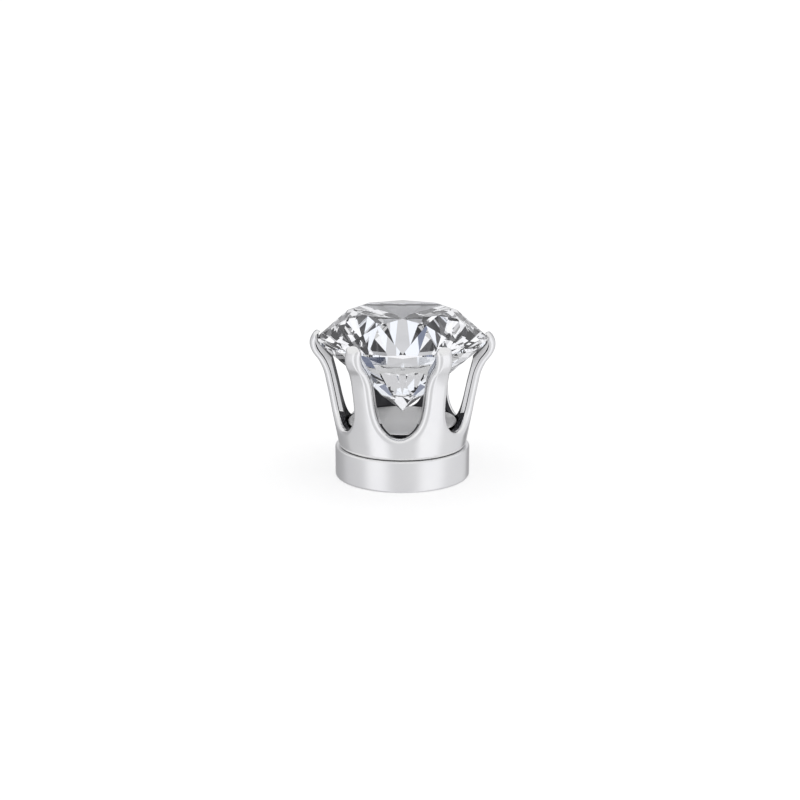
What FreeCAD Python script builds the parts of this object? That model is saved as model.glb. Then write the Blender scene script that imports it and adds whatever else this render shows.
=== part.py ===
import FreeCAD, Part
import math
import os
from FreeCAD import Vector

# A stud jewel: a round brilliant stone in a six-claw cup that stands on a round magnet.
# Millimetres, +Z up. The origin is the centre of the magnet's underside.
# A claw stands at 0 degrees and every 60 degrees after it, and an arch opens midway between two claws.

# Driving dimensions of the stone, a round brilliant with 57 facets
STONE_RADIUS = 2.50
TABLE_RADIUS = 1.42            # out to a corner of the eight-sided table
STAR_RADIUS = 1.76             # out to the side corners of the crown's kites
LOWER_POINT_RADIUS = 0.575     # how near to the culet the long lower facets reach
CROWN_HEIGHT = 0.81
GIRDLE_THICKNESS = 0.12
PAVILION_DEPTH = 2.155
GIRDLE_MIDDLE = 4.17           # height of the middle of the girdle
GIRDLE_SCALLOP = 0.045         # how far the girdle's upper edge rises between two kites
STONE_TURN = 3.0               # degrees that the stone is turned in its claws

# Driving dimensions of the magnet, the cup and the claws
MAGNET_RADIUS = 2.01
MAGNET_HEIGHT = 0.93
MAGNET_TOP_ROUNDING = 0.05
MAGNET_FOOT_ROUNDING = 0.08
PIECE_GAP = 0.02               # glue line between two pieces
CLAW_COUNT = 6
CUP_FLOOR_THICKNESS = 0.25
FLOOR_DISC_RADIUS = 1.62
FLOOR_DISC_TOP = 1.68
FLOOR_DISC_ROUNDING = 0.03
EDGE_ROUNDING = 0.18           # the rounded outer edge along every arch and claw
CLAW_TOP = 4.42
CLAW_TIP_ROUNDING = 0.27       # radius of the ball shape at the tip of every claw
CLAW_TIP_MIDDLE = (2.62, 4.14) # the ball's middle, as radius and height
ARCH_BOTTOM = 1.585
ARCH_REFERENCE_RADIUS = 3.0    # the arch outline is drawn at this distance from the axis

GIRDLE_TOP = GIRDLE_MIDDLE + GIRDLE_THICKNESS / 2
GIRDLE_FOOT = GIRDLE_MIDDLE - GIRDLE_THICKNESS / 2
TABLE_HEIGHT = GIRDLE_TOP + CROWN_HEIGHT
CULET_HEIGHT = GIRDLE_FOOT - PAVILION_DEPTH
HALF_EIGHTH = 22.5             # degrees, half the step between two of the stone's eight kites
QUARTER_EIGHTH = 11.25

CUP_UNDERSIDE = MAGNET_HEIGHT + PIECE_GAP
CUP_FLOOR_TOP = CUP_UNDERSIDE + CUP_FLOOR_THICKNESS
CUP_FOOT_RADIUS = 1.865
CUP_WALL_START = 1.02
CUP_WALL_SLOPE = 0.19          # how far the wall leans out for each millimetre of height

# Outside of the wall, from the foot up over the bend at the claw's neck to the tip over the stone
# radius, height
WALL_OUTSIDE = [
    (1.907, CUP_WALL_START),
    (1.995, 1.48),
    (2.098, 2.02),
    (2.195, 2.55),
    (2.275, 2.95),
    (2.333, 3.20),
    (2.405, 3.38),
    (2.495, 3.54),
    (2.615, 3.69),
    (2.710, 3.86),
    (2.745, 4.02),
    (2.710, 4.20),
    (2.610, 4.34),
    (2.460, 4.41),
]

# Inside of the wall, from the claw's tip down to the cup's floor
# radius, height
WALL_INSIDE = [
    (2.30, CLAW_TOP),
    (2.10, 3.95),
    (2.10, 3.52),
    (1.94, 2.83),
    (1.71, 1.68),
    (1.66, CUP_FLOOR_TOP),
]

# Right half of an arch, drawn on the upright plane at the reference radius
# distance from the arch's centre line, height
ARCH_HALF = [
    (0.00, ARCH_BOTTOM),
    (0.42, 1.66),
    (0.75, 1.84),
    (0.98, 2.10),
    (1.10, 2.42),
    (1.145, 2.80),
    (1.175, 3.20),
    (1.24, 3.50),
    (1.32, 3.75),
    (1.365, 4.00),
    (1.37, 4.20),
    (1.385, 4.35),
    (1.405, 4.50),
    (1.42, 4.80),
    (1.42, 5.20),
]

AXIS_POINT = Vector(0, 0, 0)
AXIS_UP = Vector(0, 0, 1)
FULL_TURN = 360.0


def profile_point(radius, height):
    return Vector(radius, 0, height)


def straight(start, end):
    return Part.LineSegment(start, end).toShape()


def smooth_curve(points, first_direction, last_direction):
    curve = Part.BSplineCurve()
    curve.interpolate(Points=points, InitialTangent=first_direction, FinalTangent=last_direction)
    return curve.toShape()


def turned(edges):
    """Solid of revolution of a closed outline in the XZ plane."""
    outline = Part.Wire(Part.__sortEdges__(edges))
    return Part.Face(outline).revolve(AXIS_POINT, AXIS_UP, FULL_TURN)


def around(shape, angle):
    copy = shape.copy()
    copy.rotate(AXIS_POINT, AXIS_UP, angle)
    return copy


def rounded_disc(radius, bottom, top, foot_rounding, top_rounding):
    disc = Part.makeCylinder(radius, top - bottom, profile_point(0, bottom))
    for height, rounding in ((top, top_rounding), (bottom, foot_rounding)):
        rims = [edge for edge in disc.Edges if abs(edge.CenterOfMass.z - height) < 1e-6]
        disc = disc.makeFillet(rounding, rims)
    return disc


# Cup and claws

def wall_outside_edge():
    points = [profile_point(radius, height) for radius, height in WALL_OUTSIDE]
    return smooth_curve(points, Vector(CUP_WALL_SLOPE, 0, 1), Vector(-1, 0, 0.1))


def setting_blank():
    """The whole wall before the arches are cut: a thick flared cup with a closed floor."""
    foot = profile_point(CUP_FOOT_RADIUS, CUP_UNDERSIDE)
    wall_start = profile_point(*WALL_OUTSIDE[0])
    outside_end = profile_point(*WALL_OUTSIDE[-1])
    inside = [profile_point(radius, height) for radius, height in WALL_INSIDE]
    floor = [profile_point(0, CUP_FLOOR_TOP), profile_point(0, CUP_UNDERSIDE)]
    chain = [outside_end] + inside + floor + [foot]
    edges = [
        smooth_curve([foot, wall_start], Vector(1, 0, 0), Vector(CUP_WALL_SLOPE, 0, 1)),
        wall_outside_edge(),
    ]
    edges += [straight(start, end) for start, end in zip(chain, chain[1:])]
    return turned(edges)


def arch_outline(scale):
    """The arch's outline on an upright plane nearer to the axis, narrowed towards it by scale."""
    depth = -ARCH_REFERENCE_RADIUS * scale
    right = [Vector(across * scale, depth, height) for across, height in ARCH_HALF]
    left = [Vector(-point.x, point.y, point.z) for point in reversed(right[1:])]
    points = left + right
    arch = smooth_curve(points, Vector(0, 0, -1), Vector(0, 0, 1))
    return Part.Wire([arch, straight(points[-1], points[0])])


def arch_cutter():
    """An arch whose sides run towards the axis. It opens towards -Y."""
    return Part.makeLoft([arch_outline(1.0), arch_outline(1.0 / 3.0)], True, True)


def lies_on_wall_outside(point):
    on_profile = Part.Vertex(profile_point(math.hypot(point.x, point.y), point.z))
    return wall_outside_edge().distToShape(on_profile)[0] < 1e-3


def arch_edges(solid):
    """The outer edges of the arches: on the wall's outside, but neither its own circles nor its seam."""
    claw_step = FULL_TURN / CLAW_COUNT
    found = []
    for edge in solid.Edges:
        middle = edge.valueAt((edge.FirstParameter + edge.LastParameter) / 2)
        from_claw = math.degrees(math.atan2(middle.y, middle.x)) % claw_step
        is_seam = min(from_claw, claw_step - from_claw) < 0.5
        is_circle = isinstance(edge.Curve, Part.Circle)
        if lies_on_wall_outside(middle) and not is_seam and not is_circle:
            found.append(edge)
    return found


def stone_seat():
    """The round hollow that the claws close over: the stone's outline from the side, a glue line larger."""
    crown_slope = (star_point_height() - GIRDLE_TOP) / (STONE_RADIUS - STAR_RADIUS)
    pavilion_slope = (GIRDLE_FOOT - lower_point_height()) / (STONE_RADIUS - LOWER_POINT_RADIUS)
    seat_radius = STONE_RADIUS + PIECE_GAP
    seat_foot = GIRDLE_FOOT - PIECE_GAP
    seat_top = GIRDLE_TOP + GIRDLE_SCALLOP + PIECE_GAP
    corners = [
        profile_point(0, seat_foot - seat_radius * pavilion_slope),
        profile_point(seat_radius, seat_foot),
        profile_point(seat_radius, seat_top),
        profile_point(0, seat_top + seat_radius * crown_slope),
    ]
    return turned([straight(start, end) for start, end in zip(corners, corners[1:] + corners[:1])])


def claw_tip_waste():
    """What is cut off the tip of the claw at 0 degrees to leave it round."""
    radius, _ = CLAW_TIP_MIDDLE
    size = 4 * CLAW_TIP_ROUNDING
    block = Part.makeBox(size, size, size, Vector(radius - size, -size / 2, GIRDLE_TOP))
    return block.cut(Part.makeSphere(CLAW_TIP_ROUNDING, profile_point(*CLAW_TIP_MIDDLE)))


def claw_setting():
    setting = setting_blank()
    claw_angles = [index * FULL_TURN / CLAW_COUNT for index in range(CLAW_COUNT)]
    cutter = arch_cutter()
    for angle in claw_angles:
        setting = setting.cut(around(cutter, angle))
    setting = setting.Solids[0]
    setting = setting.makeFillet(EDGE_ROUNDING, arch_edges(setting))
    setting = setting.cut(stone_seat())
    for angle in claw_angles:
        setting = setting.cut(around(claw_tip_waste(), angle))
    return setting.Solids[0]


# Stone

def outer_side(angle, inner, outer):
    """Block on the outer side of a facet's plane.

    The plane faces the given angle. It passes through two points, each given as distance along that angle
    and height.
    """
    run = outer[0] - inner[0]
    rise = outer[1] - inner[1]
    upward = 1 if rise < 0 else -1
    normal = Vector(abs(rise), 0, upward * run).normalize()
    size = 4 * STONE_RADIUS
    block = Part.makeBox(size, size, size, Vector(-size / 2, -size / 2, 0))
    block.Placement = FreeCAD.Placement(profile_point(*inner), FreeCAD.Rotation(AXIS_UP, normal))
    return around(block, angle)


def ring_of_facets(count, first_angle, inner, outer):
    step = FULL_TURN / count
    return [outer_side(first_angle + index * step, inner, outer) for index in range(count)]


def seen_along(radius, height, degrees_away):
    """A point at that radius, as distance along a facet's direction that lies some degrees away."""
    return (radius * math.cos(math.radians(degrees_away)), height)


def star_point_height():
    """Height of the crown's kites at their side corners."""
    kite_slope = CROWN_HEIGHT / (STONE_RADIUS - TABLE_RADIUS)
    along, _ = seen_along(STAR_RADIUS, 0, HALF_EIGHTH)
    return TABLE_HEIGHT - (along - TABLE_RADIUS) * kite_slope


def lower_point_height():
    """Height of the inner ends of the long lower facets."""
    along, _ = seen_along(LOWER_POINT_RADIUS, 0, HALF_EIGHTH)
    return CULET_HEIGHT + along * PAVILION_DEPTH / STONE_RADIUS


def brilliant():
    """Round brilliant cut: a cylinder with 56 planes and a flat table."""
    blank = Part.makeCylinder(STONE_RADIUS, TABLE_HEIGHT - CULET_HEIGHT, profile_point(0, CULET_HEIGHT))
    stone = around(blank, QUARTER_EIGHTH)
    kites = ring_of_facets(8, 0, (TABLE_RADIUS, TABLE_HEIGHT), (STONE_RADIUS, GIRDLE_TOP))
    stars = ring_of_facets(
        8, HALF_EIGHTH,
        seen_along(TABLE_RADIUS, TABLE_HEIGHT, HALF_EIGHTH),
        (STAR_RADIUS, star_point_height()))
    upper_halves = ring_of_facets(
        16, QUARTER_EIGHTH,
        seen_along(STAR_RADIUS, star_point_height(), QUARTER_EIGHTH),
        seen_along(STONE_RADIUS, GIRDLE_TOP, QUARTER_EIGHTH))
    lower_halves = ring_of_facets(
        16, QUARTER_EIGHTH,
        seen_along(LOWER_POINT_RADIUS, lower_point_height(), QUARTER_EIGHTH),
        seen_along(STONE_RADIUS, GIRDLE_FOOT, QUARTER_EIGHTH))
    pavilion_mains = ring_of_facets(8, 0, (0, CULET_HEIGHT), (STONE_RADIUS, GIRDLE_FOOT))
    for waste in kites + stars + upper_halves + lower_halves + pavilion_mains:
        stone = stone.cut(waste)
    return around(stone.Solids[0], STONE_TURN)


# Magnet and the disc on the cup's floor

def magnet_base():
    return rounded_disc(MAGNET_RADIUS, 0, MAGNET_HEIGHT, MAGNET_FOOT_ROUNDING, MAGNET_TOP_ROUNDING)


def floor_disc():
    bottom = CUP_FLOOR_TOP + PIECE_GAP
    return rounded_disc(FLOOR_DISC_RADIUS, bottom, FLOOR_DISC_TOP, FLOOR_DISC_ROUNDING, FLOOR_DISC_ROUNDING)


PIECES = {
    "magnet_base": magnet_base(),
    "claw_setting": claw_setting(),
    "floor_disc": floor_disc(),
    "stone": brilliant(),
}

os.makedirs("parts", exist_ok=True)
for name, shape in PIECES.items():
    shape.exportStep("parts/" + name + ".step")
    box = shape.BoundBox
    print(name, "valid", shape.isValid(), "solids", len(shape.Solids), "faces", len(shape.Faces),
          "volume", round(shape.Volume, 3), "x", round(box.XMin, 3), round(box.XMax, 3),
          "z", round(box.ZMin, 3), round(box.ZMax, 3))
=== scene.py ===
"""Magnetic stud earring: a six-claw cup on a round magnet, holding a round brilliant stone.

Shapes are worked out in millimetres, in the CAD model's frame, and become metres when a mesh is made.
A claw stands at 0 degrees and every 60 degrees after it, and an arch opens midway between two claws.
"""
import math

import bmesh
import bpy
import numpy as np
from mathutils import Matrix, Vector


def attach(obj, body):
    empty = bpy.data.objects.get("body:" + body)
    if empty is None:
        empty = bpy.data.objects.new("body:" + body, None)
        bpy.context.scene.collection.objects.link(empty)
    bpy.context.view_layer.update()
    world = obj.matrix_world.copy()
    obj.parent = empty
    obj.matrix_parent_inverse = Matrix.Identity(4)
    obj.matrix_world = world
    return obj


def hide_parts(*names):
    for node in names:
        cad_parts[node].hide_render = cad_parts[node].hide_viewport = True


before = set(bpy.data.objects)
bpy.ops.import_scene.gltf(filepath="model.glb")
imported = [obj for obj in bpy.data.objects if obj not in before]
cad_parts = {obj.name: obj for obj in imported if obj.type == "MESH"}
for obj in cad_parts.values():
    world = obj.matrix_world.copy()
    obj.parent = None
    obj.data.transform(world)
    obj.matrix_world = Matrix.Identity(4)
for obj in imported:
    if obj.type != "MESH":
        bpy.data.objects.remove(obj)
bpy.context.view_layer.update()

MILLIMETRE = 0.001

# Stone, as in the CAD model
STONE_RADIUS = 2.50
TABLE_RADIUS = 1.42
STAR_RADIUS = 1.76
LOWER_POINT_RADIUS = 0.575
CROWN_HEIGHT = 0.81
GIRDLE_THICKNESS = 0.12
GIRDLE_SCALLOP = 0.045
PAVILION_DEPTH = 2.155
GIRDLE_MIDDLE = 4.17
STONE_TURN = 3.0
GIRDLE_TOP = GIRDLE_MIDDLE + GIRDLE_THICKNESS / 2
GIRDLE_FOOT = GIRDLE_MIDDLE - GIRDLE_THICKNESS / 2
TABLE_HEIGHT = GIRDLE_TOP + CROWN_HEIGHT
CULET_HEIGHT = GIRDLE_FOOT - PAVILION_DEPTH
HALF_EIGHTH = 22.5
QUARTER_EIGHTH = 11.25

# Magnet, cup and claws, as in the CAD model
PIECE_GAP = 0.02
MAGNET_RADIUS = 2.01
MAGNET_HEIGHT = 0.93
MAGNET_TOP_ROUNDING = 0.05
MAGNET_FOOT_ROUNDING = 0.08
CLAW_COUNT = 6
CUP_FLOOR_THICKNESS = 0.25
CUP_UNDERSIDE = MAGNET_HEIGHT + PIECE_GAP
CUP_FLOOR_TOP = CUP_UNDERSIDE + CUP_FLOOR_THICKNESS
CUP_FOOT_RADIUS = 1.865
CUP_WALL_SLOPE = 0.19
FLOOR_DISC_RADIUS = 1.62
FLOOR_DISC_TOP = 1.68
FLOOR_DISC_ROUNDING = 0.03
EDGE_ROUNDING = 0.18
ARCH_REFERENCE_RADIUS = 3.0
HALF_SECTOR = math.radians(180 / CLAW_COUNT)
CLAW_TIP_ROUNDING = 0.27
CLAW_TIP_MIDDLE = (2.62, 4.14)  # radius, height
CLAW_END = (2.385, 4.415)       # where wall and seat meet before the tip is rounded: radius, height

# Outside of the wall, from the foot to the claw's tip
# radius, height
WALL_OUTSIDE = [
    (1.907, 1.02),
    (1.995, 1.48),
    (2.098, 2.02),
    (2.195, 2.55),
    (2.275, 2.95),
    (2.333, 3.20),
    (2.405, 3.38),
    (2.495, 3.54),
    (2.615, 3.69),
    (2.710, 3.86),
    (2.745, 4.02),
    (2.710, 4.20),
    (2.610, 4.34),
    (2.460, 4.41),
    CLAW_END,
]

# Right half of an arch, drawn on the upright plane at the reference radius
# distance from the arch's centre line, height
ARCH_HALF = [
    (0.00, 1.585),
    (0.42, 1.66),
    (0.75, 1.84),
    (0.98, 2.10),
    (1.10, 2.42),
    (1.145, 2.80),
    (1.175, 3.20),
    (1.24, 3.50),
    (1.32, 3.75),
    (1.365, 4.00),
    (1.37, 4.20),
    (1.385, 4.35),
    (1.405, 4.50),
    (1.42, 4.80),
]

# Inside of the wall and of the stone's seat, from the cup's floor to the claw's tip
# radius, height
SEAT_RADIUS = STONE_RADIUS + PIECE_GAP
WALL_INSIDE = [
    (1.66, CUP_FLOOR_TOP),
    (1.71, 1.68),
    (1.94, 2.83),
    (2.10, 3.52),
    (2.10, 3.61),
    (SEAT_RADIUS, GIRDLE_FOOT - PIECE_GAP),
    (SEAT_RADIUS, GIRDLE_TOP + GIRDLE_SCALLOP + PIECE_GAP),
    CLAW_END,
]


# Curves

def smooth_curve(points, first_direction, last_direction, samples):
    """Evenly spread samples of the cubic curve that bends smoothly through the points."""
    points = np.array(points, dtype=float)
    spans = np.linalg.norm(np.diff(points, axis=0), axis=1)
    knots = np.concatenate(([0.0], np.cumsum(spans)))
    count = len(points)
    system = np.eye(count)
    right_side = np.zeros((count, 2))
    right_side[0] = np.array(first_direction) / np.linalg.norm(first_direction)
    right_side[-1] = np.array(last_direction) / np.linalg.norm(last_direction)
    for i in range(1, count - 1):
        before, after = spans[i - 1], spans[i]
        system[i, i - 1:i + 2] = after, 2 * (before + after), before
        rise_before = (points[i] - points[i - 1]) / before
        rise_after = (points[i + 1] - points[i]) / after
        right_side[i] = 3 * (after * rise_before + before * rise_after)
    slopes = np.linalg.solve(system, right_side)
    curve = []
    for position in np.linspace(0, knots[-1], samples):
        i = min(int(np.searchsorted(knots, position, side="right")) - 1, count - 2)
        span = spans[i]
        t = (position - knots[i]) / span
        curve.append(
            (2 * t**3 - 3 * t**2 + 1) * points[i] + (t**3 - 2 * t**2 + t) * span * slopes[i]
            + (3 * t**2 - 2 * t**3) * points[i + 1] + (t**3 - t**2) * span * slopes[i + 1])
    return np.array(curve)


def lengths_along(curve):
    steps = np.linalg.norm(np.diff(curve, axis=0), axis=1)
    return np.concatenate(([0.0], np.cumsum(steps)))


class Profile:
    """A curve of radius and height, read at any length along it."""

    def __init__(self, curve):
        self.curve = curve
        self.along = lengths_along(curve)
        tangents = np.gradient(curve, self.along, axis=0)
        tangents /= np.linalg.norm(tangents, axis=1)[:, None]
        self.outward = np.stack((tangents[:, 1], -tangents[:, 0]), axis=1)

    def at(self, along):
        return np.array([np.interp(along, self.along, self.curve[:, k]) for k in (0, 1)])

    def normal(self, along):
        return np.array([np.interp(along, self.along, self.outward[:, k]) for k in (0, 1)])

    def along_at_height(self, height):
        return float(np.interp(height, self.curve[:, 1], self.along))


# Meshes

ROUND_STEPS = 256              # around the discs and the stone's girdle
RIM_STEPS = 8                  # over a disc's rounded rim
DISC_SHARP_ANGLE = math.radians(40)
CUP_SHARP_ANGLE = math.radians(38)

# Points nearer than this become one
DISC_WELD = 1e-5
CUP_WELD = 2e-5
STONE_WELD = 1e-4
TINY = 1e-6


def new_object(name, bm, materials, node):
    """Turns a mesh in millimetres into a piece that stands for its CAD node."""
    bmesh.ops.recalc_face_normals(bm, faces=bm.faces)
    bmesh.ops.scale(bm, vec=Vector((MILLIMETRE,) * 3), verts=bm.verts)
    mesh = bpy.data.meshes.new(name)
    bm.to_mesh(mesh)
    bm.free()
    piece = bpy.data.objects.new(name, mesh)
    bpy.context.scene.collection.objects.link(piece)
    for material in materials:
        piece.data.materials.append(material)
    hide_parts(node)
    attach(piece, "root")


def polar(radius, angle, height):
    return Vector((radius * math.cos(angle), radius * math.sin(angle), height))


def smooth_between_sharp_edges(bm, sharp_angle):
    for face in bm.faces:
        face.smooth = True
    for edge in bm.edges:
        edge.smooth = len(edge.link_faces) == 2 and edge.calc_face_angle() < sharp_angle


def rounded_disc_mesh(radius, bottom, top, foot_rounding, top_rounding):
    """Lathe-turned disc with rounded rims."""
    profile = [(0.0, bottom), (radius * 0.5, bottom)]
    for step in range(RIM_STEPS + 1):
        turn = math.pi / 2 * step / RIM_STEPS
        profile.append((
            radius - foot_rounding + foot_rounding * math.sin(turn),
            bottom + foot_rounding - foot_rounding * math.cos(turn)))
    for step in range(RIM_STEPS + 1):
        turn = math.pi / 2 * step / RIM_STEPS
        profile.append((
            radius - top_rounding + top_rounding * math.cos(turn),
            top - top_rounding + top_rounding * math.sin(turn)))
    profile += [(radius * 0.5, top), (0.0, top)]
    bm = bmesh.new()
    rings = []
    for ring_radius, height in profile:
        angles = [2 * math.pi * k / ROUND_STEPS for k in range(ROUND_STEPS)]
        rings.append([bm.verts.new(polar(ring_radius, angle, height)) for angle in angles])
    for low, high in zip(rings, rings[1:]):
        for k in range(ROUND_STEPS):
            following = (k + 1) % ROUND_STEPS
            bm.faces.new((low[k], low[following], high[following], high[k]))
    bmesh.ops.remove_doubles(bm, verts=bm.verts, dist=DISC_WELD)
    smooth_between_sharp_edges(bm, DISC_SHARP_ANGLE)
    return bm


# Cup and claws

WALL_SAMPLES = 400
FOOT_SAMPLES = 16
ARCH_SAMPLES = 900
SPLIT_HEIGHT = 2.4             # above it the mesh rows run level across a claw
ARCH_ROWS_LOW = 44             # mesh rows along half an arch, below that height
ARCH_ROWS_HIGH = 96            # and above it
ROUNDING_STEPS = 10            # over the rounded edge
PLAIN_STEPS = 10               # from there to the claw's centre line or the cup's foot
INSIDE_STEPS = 8               # from the inner edge to the claw's centre line
CUP_INSIDE_ROWS = 5            # from the cup's floor up to the arch's lowest point
SIDE_SHARES = (0.0, 0.09, 0.18, 0.6, 1.0)
SIDE_LENGTH = 0.14             # usual depth of the flat side face
GROOVE_DEPTH = 0.018           # of the fine groove between the rounded edge and the side face
GROOVE_END = 2                 # place among SIDE_SHARES where the groove ends
SILL_TOP = 2.0                 # below this height the side faces get the inside's dark metal, as painted shade
TIP_ROUNDING_SHARE = 0.9       # of the tip's thickness, where that is less than the edge's rounding

# Places of the three metals among the cup's materials: polished, unpolished with painted shade, and
# polished with painted shade in the corners
POLISHED = 0
UNPOLISHED_PAINTED_SHADE = 1
POLISHED_CORNER_SHADED = 2


def wall_profile():
    foot_points = [(CUP_FOOT_RADIUS, CUP_UNDERSIDE), WALL_OUTSIDE[0]]
    foot = smooth_curve(foot_points, (1, 0), (CUP_WALL_SLOPE, 1), FOOT_SAMPLES)
    wall = smooth_curve(WALL_OUTSIDE, (CUP_WALL_SLOPE, 1), (-1, 0.06), WALL_SAMPLES)
    return Profile(np.concatenate((foot[:-1], wall)))


class ArchEdge:
    """The edge of half an arch on the wall's outside, from its lowest point up to the claw's tip."""

    def __init__(self, wall):
        outline = smooth_curve(ARCH_HALF, (1, 0), (0, 1), ARCH_SAMPLES)
        place = np.linspace(0, 1, len(outline))
        slope = np.gradient(outline, place, axis=0)
        split = float(np.interp(SPLIT_HEIGHT, outline[:, 1], place))
        low_places = np.linspace(0, split, ARCH_ROWS_LOW, endpoint=False)
        split_along = wall.along_at_height(SPLIT_HEIGHT)
        high_alongs = np.linspace(split_along, wall.along[-1], ARCH_ROWS_HIGH)
        high_heights = wall.at(high_alongs)[1]
        high_places = np.interp(high_heights, outline[:, 1], place)
        places = np.concatenate((low_places, high_places))
        across = np.interp(places, place, outline[:, 0])
        self.heights = np.interp(places, place, outline[:, 1])
        self.angles = HALF_SECTOR - np.arctan2(across, ARCH_REFERENCE_RADIUS)
        low_alongs = [wall.along_at_height(height) for height in self.heights[:ARCH_ROWS_LOW]]
        self.alongs = np.concatenate((low_alongs, high_alongs))
        self.radii = wall.at(self.alongs)[0]
        run = -np.interp(places, place, slope[:, 0]) * self.radii / ARCH_REFERENCE_RADIUS
        rise = np.interp(places, place, slope[:, 1])
        size = np.hypot(run, rise)
        self.run = run / size
        self.rise = rise / size

    def inward(self):
        """Direction square to the edge and into the metal: along the angle, up the profile."""
        run = np.gradient(self.angles) * self.radii
        rise = np.gradient(self.alongs)
        rise[0] = 0.0
        size = np.hypot(run, rise)
        return np.stack((-rise / size, run / size), axis=1)


def seat_distance(radius, height):
    """How thick the claw's tip is there, measured to the stone's seat below it."""
    corner = np.array(WALL_INSIDE[-2])
    end = np.array(WALL_INSIDE[-1])
    along = (end - corner) / np.linalg.norm(end - corner)
    offset = np.array((radius, height)) - corner
    beside = float(np.clip(offset @ along, 0, np.linalg.norm(end - corner)))
    return float(np.linalg.norm(offset - beside * along))


def outside_grid(wall, edge):
    """Rows from the arch's edge to the claw's centre line or the cup's foot: radius, angle, height."""
    inward = edge.inward()
    foot_width = HALF_SECTOR * CUP_FOOT_RADIUS
    spine_length = foot_width + edge.alongs[ARCH_ROWS_LOW]
    grid = []
    for i in range(len(edge.alongs)):
        along, angle, radius = edge.alongs[i], edge.angles[i], edge.radii[i]
        height = edge.heights[i]
        rounding = min(EDGE_ROUNDING, TIP_ROUNDING_SHARE * seat_distance(radius, height))
        normal = wall.normal(along)
        upward = normal[1] * edge.rise[i]
        drop_radius = -normal[0]
        drop_side = -upward * edge.run[i]
        drop_height = -upward * edge.rise[i]
        drop_size = math.sqrt(drop_radius**2 + drop_side**2 + drop_height**2)
        row = []
        for step in range(ROUNDING_STEPS + 1):
            turn = math.pi / 2 * (1 - step / ROUNDING_STEPS)
            away = rounding * (1 - math.sin(turn))
            drop = rounding * (1 - math.cos(turn)) / drop_size
            here_radius, here_height = wall.at(along + inward[i, 1] * away)
            here_angle = angle + inward[i, 0] * away / radius
            row.append((
                here_radius + drop * drop_radius,
                here_angle + drop * drop_side / radius,
                here_height + drop * drop_height))
        start_along = along + inward[i, 1] * rounding
        start_angle = angle + inward[i, 0] * rounding / radius
        if i < ARCH_ROWS_LOW:
            walked = spine_length * i / ARCH_ROWS_LOW
            target_angle = HALF_SECTOR * max(0.0, 1 - walked / foot_width)
            target_along = max(0.0, walked - foot_width)
        else:
            target_angle = 0.0
            target_along = start_along
        for step in range(1, PLAIN_STEPS + 1):
            share = step / PLAIN_STEPS
            here_radius, here_height = wall.at(start_along + share * (target_along - start_along))
            row.append((here_radius, start_angle + share * (target_angle - start_angle), here_height))
        grid.append(row)
    return grid


def inside_radius(height):
    inside = np.array(WALL_INSIDE)
    return float(np.interp(height, inside[:, 1], inside[:, 0]))


def side_grid(edge, outside):
    """The flat side face of a claw and the arch's sill, from the rounded edge in to the wall's inside."""
    grid = []
    for i, outside_row in enumerate(outside):
        outer = np.array(outside_row[0])
        inner = np.array((inside_radius(edge.heights[i]), edge.angles[i], edge.heights[i]))
        row = [outer + (inner - outer) * share for share in SIDE_SHARES]
        length = float(np.linalg.norm(inner[::2] - outer[::2]))
        depth = GROOVE_DEPTH * min(1.0, length / SIDE_LENGTH)
        row[1] = row[1] + depth * np.array((0, -edge.rise[i] / edge.radii[i], edge.run[i]))
        grid.append([tuple(point) for point in row])
    return grid


def inside_grid(edge):
    """Rows from the claw's centre line to the inner edge, from the cup's floor up to the claw's tip."""
    cup_heights = np.linspace(CUP_FLOOR_TOP, edge.heights[0], CUP_INSIDE_ROWS, endpoint=False)
    rows = [(height, HALF_SECTOR) for height in cup_heights]
    rows += list(zip(edge.heights, edge.angles))
    shares = [step / INSIDE_STEPS for step in range(INSIDE_STEPS + 1)]
    grid = []
    for height, angle in rows:
        radius = inside_radius(height)
        grid.append([(radius, share * angle, height) for share in shares])
    return grid


def disc_grid(rim):
    """Fan from a rim in to the axis."""
    return [[(0.0, 0.0, rim[0][2]) for _ in rim], rim]


def claw_setting_mesh():
    wall = wall_profile()
    edge = ArchEdge(wall)
    outside = outside_grid(wall, edge)
    sides = side_grid(edge, outside)
    sill_rows = sum(1 for height in edge.heights if height < SILL_TOP) + 1
    inside = inside_grid(edge)
    foot_rim = [row[-1] for row in outside if row[-1][2] < CUP_UNDERSIDE + TINY]
    corner = (CUP_FOOT_RADIUS, 0.0, CUP_UNDERSIDE)
    # Painted shade: the strip at the groove, the sills, the wall's inside and the cup's floor take dark
    # metal, and the side faces above the sills take shade painted into their corners
    patches = [
        (outside, POLISHED),
        ([row[:GROOVE_END + 1] for row in sides], UNPOLISHED_PAINTED_SHADE),
        ([row[GROOVE_END:] for row in sides[:sill_rows]], UNPOLISHED_PAINTED_SHADE),
        ([row[GROOVE_END:] for row in sides[sill_rows - 1:]], POLISHED_CORNER_SHADED),
        (inside, UNPOLISHED_PAINTED_SHADE),
        (disc_grid(inside[0]), UNPOLISHED_PAINTED_SHADE),
        (disc_grid(foot_rim + [corner]), POLISHED),
    ]
    bm = bmesh.new()
    for claw in range(CLAW_COUNT):
        for side in (1, -1):
            for patch, finish in patches:
                add_patch(bm, patch, 2 * HALF_SECTOR * claw, side, finish)
    bmesh.ops.remove_doubles(bm, verts=bm.verts, dist=CUP_WELD)
    smooth_between_sharp_edges(bm, CUP_SHARP_ANGLE)
    return bm


def rounded_tip(radius, angle, height):
    """The point, drawn in onto the ball shape at the claw's tip if it lies outside of it."""
    if radius > CLAW_TIP_MIDDLE[0] or height < GIRDLE_TOP:
        return radius, angle, height
    middle = np.array((CLAW_TIP_MIDDLE[0], 0.0, CLAW_TIP_MIDDLE[1]))
    away = np.array((radius * math.cos(angle), radius * math.sin(angle), height)) - middle
    distance = float(np.linalg.norm(away))
    x, y, z = middle + away * min(1.0, CLAW_TIP_ROUNDING / distance)
    return math.hypot(x, y), math.atan2(y, x), z


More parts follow.
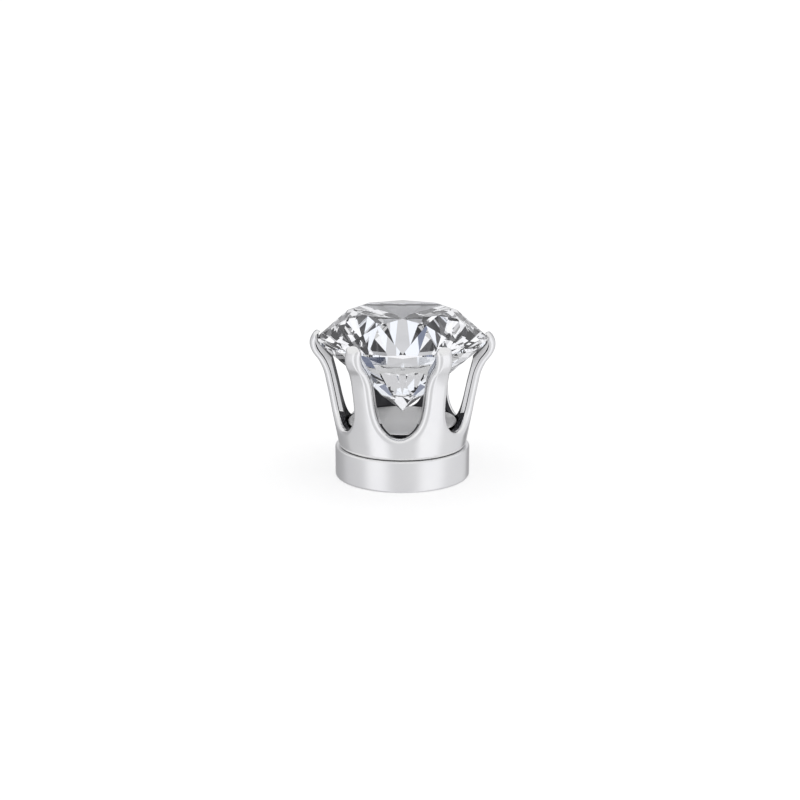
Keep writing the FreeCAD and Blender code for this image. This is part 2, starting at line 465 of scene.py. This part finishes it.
def add_patch(bm, patch, claw_angle, side, finish):
    """Adds one grid of points to the mesh, on one side of the centre line of the claw at that angle."""
    rows = []
    for grid_row in patch:
        row = []
        for point in grid_row:
            radius, angle, height = rounded_tip(*point)
            row.append(bm.verts.new(polar(radius, claw_angle + side * angle, height)))
        rows.append(row)
    for low, high in zip(rows, rows[1:]):
        for k in range(len(low) - 1):
            face = bm.faces.new((low[k], low[k + 1], high[k + 1], high[k]))
            face.material_index = finish


# Stone

def facet_ring(count, first_angle, inner, outer):
    """Cutting planes all round, as a point and an outward normal each."""
    run = outer[0] - inner[0]
    rise = outer[1] - inner[1]
    upward = 1 if rise < 0 else -1
    planes = []
    for index in range(count):
        turn = Matrix.Rotation(math.radians(first_angle + index * 360 / count), 3, "Z")
        point = turn @ Vector((inner[0], 0, inner[1]))
        normal = turn @ Vector((abs(rise), 0, upward * run))
        planes.append((point, normal))
    return planes


def seen_along(radius, height, degrees_away):
    """A point at that radius, as distance along a facet's direction that lies some degrees away."""
    return (radius * math.cos(math.radians(degrees_away)), height)


def brilliant_mesh():
    """Round brilliant cut: a cylinder cut by the same planes as the CAD model's stone."""
    kite_slope = CROWN_HEIGHT / (STONE_RADIUS - TABLE_RADIUS)
    star_along = STAR_RADIUS * math.cos(math.radians(HALF_EIGHTH))
    star_height = TABLE_HEIGHT - (star_along - TABLE_RADIUS) * kite_slope
    lower_along = LOWER_POINT_RADIUS * math.cos(math.radians(HALF_EIGHTH))
    lower_height = CULET_HEIGHT + lower_along * PAVILION_DEPTH / STONE_RADIUS
    planes = facet_ring(8, 0, (TABLE_RADIUS, TABLE_HEIGHT), (STONE_RADIUS, GIRDLE_TOP))
    planes += facet_ring(
        8, HALF_EIGHTH,
        seen_along(TABLE_RADIUS, TABLE_HEIGHT, HALF_EIGHTH),
        (STAR_RADIUS, star_height))
    planes += facet_ring(
        16, QUARTER_EIGHTH,
        seen_along(STAR_RADIUS, star_height, QUARTER_EIGHTH),
        seen_along(STONE_RADIUS, GIRDLE_TOP, QUARTER_EIGHTH))
    planes += facet_ring(
        16, QUARTER_EIGHTH,
        seen_along(LOWER_POINT_RADIUS, lower_height, QUARTER_EIGHTH),
        seen_along(STONE_RADIUS, GIRDLE_FOOT, QUARTER_EIGHTH))
    planes += facet_ring(8, 0, (0, CULET_HEIGHT), (STONE_RADIUS, GIRDLE_FOOT))
    bm = bmesh.new()
    bmesh.ops.create_cone(
        bm, cap_ends=True, segments=ROUND_STEPS, radius1=STONE_RADIUS, radius2=STONE_RADIUS,
        depth=TABLE_HEIGHT - CULET_HEIGHT)
    bmesh.ops.translate(bm, verts=bm.verts, vec=(0, 0, (TABLE_HEIGHT + CULET_HEIGHT) / 2))
    for point, normal in planes:
        parts = bm.verts[:] + bm.edges[:] + bm.faces[:]
        cut = bmesh.ops.bisect_plane(
            bm, geom=parts, plane_co=point, plane_no=normal, clear_outer=True, dist=TINY)
        rim = [part for part in cut["geom_cut"] if isinstance(part, bmesh.types.BMEdge)]
        bmesh.ops.edgeloop_fill(bm, edges=rim)
    bmesh.ops.remove_doubles(bm, verts=bm.verts, dist=STONE_WELD)
    bmesh.ops.rotate(bm, verts=bm.verts, matrix=Matrix.Rotation(math.radians(STONE_TURN), 3, "Z"))
    for face in bm.faces:
        face.smooth = False
    return bm


# Materials

# Ranges of colour that the clouding runs between
BRIGHT = ((0.92, 0.92, 0.93), (0.96, 0.96, 0.96))
PALE = ((0.96, 0.96, 0.97), (1.0, 1.0, 1.0))
# Near black metal, as painted shade for the cup's inside, its sills and the floor disc's rim
PAINTED_SHADE_DARK = ((0.04, 0.04, 0.045), (0.08, 0.08, 0.085))
CLEAR = ((0.96, 0.97, 1.0), (1.0, 1.0, 1.0))
WHITE = ((0.93, 0.93, 0.93), (0.95, 0.95, 0.95))
NOISE_RANGE = (0.3, 0.7)       # the usual range of the noise, from a colour's first end to its second

# Polishing marks: closeness along each axis, depth in metres
EVEN_MARKS = (3, 3, 3)
UPRIGHT_MARKS = (3, 3, 1)
MARKS_DEPTH = 0.000001
MARKS_STRENGTH = 0.05

# Painted shade in the corners, darker where other metal stands close by
PAINTED_CORNER_SHADE = (0.02, 0.02, 0.022, 1)
CORNER_REACH = 0.0006          # metres
CORNER_RANGE = (0.3, 0.75)     # how open a place is, from full painted shade to none
CORNER_SAMPLES = 8

STONE_REFRACTION = 2.2
STONE_SHINE = (0.4, 0.4, 0.42, 1)
INSIDE_REFLECTIONS = 4         # how often light is reflected inside the stone before it is let out
FLOOR_GLOW = 0.3


class Nodes:
    """A material's node tree, with short calls for the nodes that are used more than once."""

    def __init__(self, name):
        self.material = bpy.data.materials.new(name)
        self.material.use_nodes = True
        self.tree = self.material.node_tree
        self.shader = self.tree.nodes["Principled BSDF"]

    def add(self, kind, **inputs):
        node = self.tree.nodes.new(kind)
        for key, value in inputs.items():
            node.inputs[key.replace("_", " ")].default_value = value
        return node

    def link(self, source, target):
        self.tree.links.new(source, target)

    def place_in_millimetres(self, stretch=(1, 1, 1)):
        coordinates = self.add("ShaderNodeTexCoord")
        mapping = self.add("ShaderNodeMapping", Scale=[axis / MILLIMETRE for axis in stretch])
        self.link(coordinates.outputs["Object"], mapping.inputs["Vector"])
        return mapping.outputs["Vector"]

    def noise(self, place, scale, detail=3.0):
        node = self.add("ShaderNodeTexNoise", Scale=scale, Detail=detail)
        self.link(place, node.inputs["Vector"])
        return node.outputs["Fac"]

    def spread(self, value, low, high):
        least, most = NOISE_RANGE
        node = self.add("ShaderNodeMapRange", From_Min=least, From_Max=most, To_Min=low, To_Max=high)
        self.link(value, node.inputs["Value"])
        return node.outputs["Result"]

    def colours(self, value, low, high):
        node = self.add("ShaderNodeValToRGB")
        for element, position, colour in zip(node.color_ramp.elements, NOISE_RANGE, (low, high)):
            element.position = position
            element.color = (*colour, 1)
        self.link(value, node.inputs["Fac"])
        return node.outputs["Color"]

    def painted_corner_shade(self, colour):
        """Painted shade: the colour, darker where other metal stands close by."""
        openness = self.add("ShaderNodeAmbientOcclusion", Distance=CORNER_REACH)
        openness.samples = CORNER_SAMPLES
        least, most = CORNER_RANGE
        share = self.add("ShaderNodeMapRange", From_Min=least, From_Max=most)
        self.link(openness.outputs["AO"], share.inputs["Value"])
        mix = self.tree.nodes.new("ShaderNodeMix")
        mix.data_type = "RGBA"
        mix.inputs["A"].default_value = PAINTED_CORNER_SHADE
        self.link(share.outputs["Result"], mix.inputs["Factor"])
        self.link(colour, mix.inputs["B"])
        return mix.outputs["Result"]

    def let_out_after(self, reflections):
        """Lets light straight out of a clear piece once it has been reflected that often inside it."""
        path = self.add("ShaderNodeLightPath")
        often = self.tree.nodes.new("ShaderNodeMath")
        often.operation = "GREATER_THAN"
        often.inputs[1].default_value = reflections - 0.5
        self.link(path.outputs["Glossy Depth"], often.inputs[0])
        mix = self.add("ShaderNodeMixShader")
        self.link(often.outputs[0], mix.inputs[0])
        self.link(self.shader.outputs["BSDF"], mix.inputs[1])
        self.link(self.add("ShaderNodeBsdfTransparent").outputs["BSDF"], mix.inputs[2])
        self.link(mix.outputs["Shader"], self.tree.nodes["Material Output"].inputs["Surface"])

    def bump(self, height, distance, strength):
        node = self.add("ShaderNodeBump", Distance=distance, Strength=strength)
        self.link(height, node.inputs["Height"])
        self.link(node.outputs["Normal"], self.shader.inputs["Normal"])


def metal(name, colour_range, roughness, marks_stretch, metallic=1.0, painted_corner_shade=False):
    """Faint clouding, fine polishing marks and, where asked, painted shade in the corners."""
    nodes = Nodes(name)
    nodes.shader.inputs["Metallic"].default_value = metallic
    clouds = nodes.noise(nodes.place_in_millimetres(), scale=1.3)
    colour = nodes.colours(clouds, *colour_range)
    if painted_corner_shade:
        colour = nodes.painted_corner_shade(colour)
    nodes.link(colour, nodes.shader.inputs["Base Color"])
    marks = nodes.noise(nodes.place_in_millimetres(marks_stretch), scale=6.0, detail=4.0)
    nodes.link(nodes.spread(marks, *roughness), nodes.shader.inputs["Roughness"])
    nodes.bump(marks, MARKS_DEPTH, MARKS_STRENGTH)
    return nodes.material


def clear_stone():
    nodes = Nodes("clear_stone")
    nodes.shader.inputs["Transmission Weight"].default_value = 1.0
    nodes.shader.inputs["IOR"].default_value = STONE_REFRACTION
    nodes.shader.inputs["Specular Tint"].default_value = STONE_SHINE
    nodes.shader.inputs["Roughness"].default_value = 0.0
    clouds = nodes.noise(nodes.place_in_millimetres(), scale=0.8)
    nodes.link(nodes.colours(clouds, *CLEAR), nodes.shader.inputs["Base Color"])
    nodes.let_out_after(INSIDE_REFLECTIONS)
    return nodes.material


def white_floor():
    nodes = Nodes("white_floor")
    nodes.shader.inputs["Roughness"].default_value = 0.9
    nodes.shader.inputs["Emission Color"].default_value = (1, 1, 1, 1)
    nodes.shader.inputs["Emission Strength"].default_value = FLOOR_GLOW
    nodes.shader.inputs["Specular IOR Level"].default_value = 0.0
    grain = nodes.noise(nodes.place_in_millimetres(), scale=0.02)
    nodes.link(nodes.colours(grain, *WHITE), nodes.shader.inputs["Base Color"])
    return nodes.material


# Stage

CAMERA_DISTANCE = 46.903       # level distance from the axis
CAMERA_HEIGHT = 14.315
CAMERA_PITCH = 14.391
CAMERA_AZIMUTH = 2.9
CAMERA_ASIDE = -0.071
CAMERA_LENS = 73.07

FLOOR_RADIUS = 4               # metres
FLOOR_DROP = 0.000002          # metres below the magnet, so that the two faces don't flicker

# The studio's walls as the metal mirrors them, blended from one row to the next
# degrees from straight behind the camera towards the right, brightness
METAL_WALLS = [
    (-180, 0.70),
    (-168, 0.50),
    (-155, 0.36),
    (-118, 0.44),
    (-108, 0.62),
    (-68, 0.65),
    (-54, 1.00),
    (-30, 1.00),
    (-16, 0.70),
    (26, 0.70),
    (38, 1.00),
    (70, 0.97),
    (84, 0.75),
    (140, 0.70),
    (150, 0.20),
    (164, 0.50),
    (180, 0.70),
]

# Tints of the walls, as red, green and blue
NEUTRAL = (0.99, 0.99, 1.01)
BLUISH = (0.95, 0.98, 1.04)
BLUE = (0.80, 0.92, 1.30)

# The studio's walls as they show through the stone: pale walls with dark screens between them
# degrees as above where a stretch begins, brightness low down, brightness higher up, tint low down
STONE_WALLS = [
    (-180, 0.66, 1.00, NEUTRAL),
    (-172, 1.05, 1.00, BLUISH),
    (-162, 0.24, 0.02, BLUE),
    (-153, 1.05, 1.00, BLUISH),
    (-140, 0.03, 1.00, NEUTRAL),
    (-128, 1.05, 0.02, NEUTRAL),
    (-112, 0.02, 1.00, NEUTRAL),
    (-98, 1.05, 0.02, NEUTRAL),
    (-84, 0.02, 1.00, NEUTRAL),
    (-70, 1.05, 0.02, NEUTRAL),
    (-52, 0.02, 1.00, NEUTRAL),
    (-38, 1.05, 0.02, NEUTRAL),
    (-20, 0.30, 0.30, NEUTRAL),
    (16, 1.05, 0.02, NEUTRAL),
    (34, 0.02, 1.00, NEUTRAL),
    (50, 1.05, 0.02, NEUTRAL),
    (64, 0.02, 1.00, NEUTRAL),
    (80, 1.05, 0.02, NEUTRAL),
    (94, 0.02, 1.00, NEUTRAL),
    (112, 1.05, 0.02, NEUTRAL),
    (124, 0.03, 1.00, NEUTRAL),
    (136, 1.05, 1.00, BLUISH),
    (152, 0.24, 0.02, BLUE),
    (160, 1.05, 1.00, BLUISH),
    (172, 0.66, 1.00, NEUTRAL),
]

# Where the studio's parts end, as the sine of the angle above the horizon
UNDER_STONE_TOP = -0.52
LOW_WALLS_TOP = 0.40
WALLS_TOP = 0.93
ZONE_BLEND = 0.08

# Brightness straight below the stone and of the ceiling
UNDER_STONE = 0.62
CEILING_OVER_METAL = 0.85
CEILING_OVER_STONE = 0.7


def make_camera():
    azimuth = math.radians(CAMERA_AZIMUTH)
    back = Vector((math.sin(azimuth), -math.cos(azimuth), 0))
    right = Vector((math.cos(azimuth), math.sin(azimuth), 0))
    camera = bpy.data.objects.new("camera", bpy.data.cameras.new("camera"))
    place = back * CAMERA_DISTANCE + right * CAMERA_ASIDE + Vector((0, 0, CAMERA_HEIGHT))
    camera.location = place * MILLIMETRE
    camera.rotation_euler = (math.radians(90 - CAMERA_PITCH), 0, azimuth)
    camera.data.lens = CAMERA_LENS
    camera.data.sensor_width = 36
    camera.data.clip_start = MILLIMETRE
    camera.data.clip_end = 20
    bpy.context.scene.collection.objects.link(camera)
    bpy.context.scene.camera = camera


def make_floor():
    """A plain disc. The metal doesn't mirror it and it doesn't show through the stone."""
    bpy.ops.mesh.primitive_circle_add(
        vertices=64, radius=FLOOR_RADIUS, fill_type="NGON", location=(0, 0, -FLOOR_DROP))
    floor = bpy.context.object
    floor.name = "floor"
    floor.data.materials.append(white_floor())
    floor.visible_glossy = False
    floor.visible_transmission = False


class Studio:
    """The world's nodes, with short calls for the ones that are used more than once."""

    def __init__(self):
        world = bpy.data.worlds.new("studio")
        world.use_nodes = True
        bpy.context.scene.world = world
        self.tree = world.node_tree
        coordinates = self.tree.nodes.new("ShaderNodeTexCoord")
        self.direction = self.tree.nodes.new("ShaderNodeSeparateXYZ")
        self.tree.links.new(coordinates.outputs["Generated"], self.direction.inputs["Vector"])

    def calculate(self, operation, first, second):
        node = self.tree.nodes.new("ShaderNodeMath")
        node.operation = operation
        for socket, value in zip(node.inputs, (first, second)):
            if isinstance(value, float):
                socket.default_value = value
            else:
                self.tree.links.new(value, socket)
        return node.outputs[0]

    def share_between(self, value, low, high):
        node = self.tree.nodes.new("ShaderNodeMapRange")
        node.inputs["From Min"].default_value = low
        node.inputs["From Max"].default_value = high
        self.tree.links.new(value, node.inputs["Value"])
        return node.outputs["Result"]

    def ring(self, share, stops, blended):
        """Walls all round, from rows of degrees, brightness and, if they have one, tint."""
        node = self.tree.nodes.new("ShaderNodeValToRGB")
        node.color_ramp.interpolation = "LINEAR" if blended else "CONSTANT"
        elements = node.color_ramp.elements
        elements.remove(elements[1])
        for index, (degrees, brightness, *tint) in enumerate(stops):
            position = (degrees + 180) / 360
            element = elements[0] if index == 0 else elements.new(position)
            element.position = position
            red, green, blue = tint[0] if tint else NEUTRAL
            element.color = (brightness * red, brightness * green, brightness * blue, 1)
        self.tree.links.new(share, node.inputs["Fac"])
        return node.outputs["Color"]

    def mix(self, share, first, second):
        node = self.tree.nodes.new("ShaderNodeMix")
        node.data_type = "RGBA"
        self.tree.links.new(share, node.inputs["Factor"])
        self.tree.links.new(first, node.inputs["A"])
        if isinstance(second, float):
            node.inputs["B"].default_value = (second, second, second, 1)
        else:
            self.tree.links.new(second, node.inputs["B"])
        return node.outputs["Result"]


def make_studio():
    """One set of walls and ceiling that the metal mirrors, and one that shows through the stone."""
    studio = Studio()
    backward = studio.calculate("MULTIPLY", studio.direction.outputs["Y"], -1.0)
    angle = studio.calculate("ARCTAN2", studio.direction.outputs["X"], backward)
    around = studio.share_between(angle, -math.pi, math.pi)
    height = studio.direction.outputs["Z"]
    above_low_walls = studio.share_between(height, LOW_WALLS_TOP, LOW_WALLS_TOP + ZONE_BLEND)
    above_walls = studio.share_between(height, WALLS_TOP, WALLS_TOP + ZONE_BLEND)
    far_below = studio.share_between(height, UNDER_STONE_TOP, UNDER_STONE_TOP - ZONE_BLEND)

    metal_walls = studio.ring(around, METAL_WALLS, blended=True)
    over_metal = studio.mix(above_low_walls, metal_walls, CEILING_OVER_METAL)
    low_rows = [(degrees, low, tint) for degrees, low, _, tint in STONE_WALLS]
    high_rows = [(degrees, high) for degrees, _, high, _ in STONE_WALLS]
    low_walls = studio.ring(around, low_rows, blended=False)
    high_walls = studio.ring(around, high_rows, blended=False)
    stone_walls = studio.mix(above_low_walls, low_walls, high_walls)
    walls_and_ceiling = studio.mix(above_walls, stone_walls, CEILING_OVER_STONE)
    over_stone = studio.mix(far_below, walls_and_ceiling, UNDER_STONE)

    passages = studio.tree.nodes.new("ShaderNodeLightPath").outputs["Transmission Depth"]
    through_stone = studio.calculate("GREATER_THAN", passages, 0.5)
    light = studio.mix(through_stone, over_metal, over_stone)
    studio.tree.links.new(light, studio.tree.nodes["Background"].inputs["Color"])


# Pieces

def make_magnet():
    disc = rounded_disc_mesh(MAGNET_RADIUS, 0, MAGNET_HEIGHT, MAGNET_FOOT_ROUNDING, MAGNET_TOP_ROUNDING)
    plated = metal("plated_magnet", BRIGHT, (0.28, 0.32), EVEN_MARKS)
    new_object("magnet", disc, [plated], "magnet_base")


def make_cup_and_disc():
    plated = metal("plated_setting", BRIGHT, (0.18, 0.25), UPRIGHT_MARKS)
    # Unpolished inside metal, painted dark as shade
    unpolished_painted_shade = metal("rough_inside_painted_dark", PAINTED_SHADE_DARK, (0.3, 0.45), EVEN_MARKS)
    # Plated side faces, with shade painted into their corners
    sides = metal("plated_sides_corner_shade", BRIGHT, (0.18, 0.25), UPRIGHT_MARKS, painted_corner_shade=True)
    satin = metal("satin_disc", PALE, (0.45, 0.6), EVEN_MARKS, metallic=0.15)
    cup_metals = [plated, unpolished_painted_shade, sides]
    new_object("cup_and_claws", claw_setting_mesh(), cup_metals, "claw_setting")

    bottom = CUP_FLOOR_TOP + PIECE_GAP
    rim_foot = FLOOR_DISC_TOP - FLOOR_DISC_ROUNDING
    disc = rounded_disc_mesh(
        FLOOR_DISC_RADIUS, bottom, FLOOR_DISC_TOP, FLOOR_DISC_ROUNDING, FLOOR_DISC_ROUNDING)
    # The floor disc's side below its rounding takes the dark inside metal, as painted shade
    for face in disc.faces:
        if face.calc_center_median().z < rim_foot:
            face.material_index = UNPOLISHED_PAINTED_SHADE
    new_object("cup_floor", disc, [satin, unpolished_painted_shade], "floor_disc")


def make_stone():
    new_object("brilliant", brilliant_mesh(), [clear_stone()], "stone")


make_magnet()
make_cup_and_disc()
make_stone()
make_floor()
make_studio()
make_camera()
bpy.context.scene.view_settings.view_transform = "Standard"
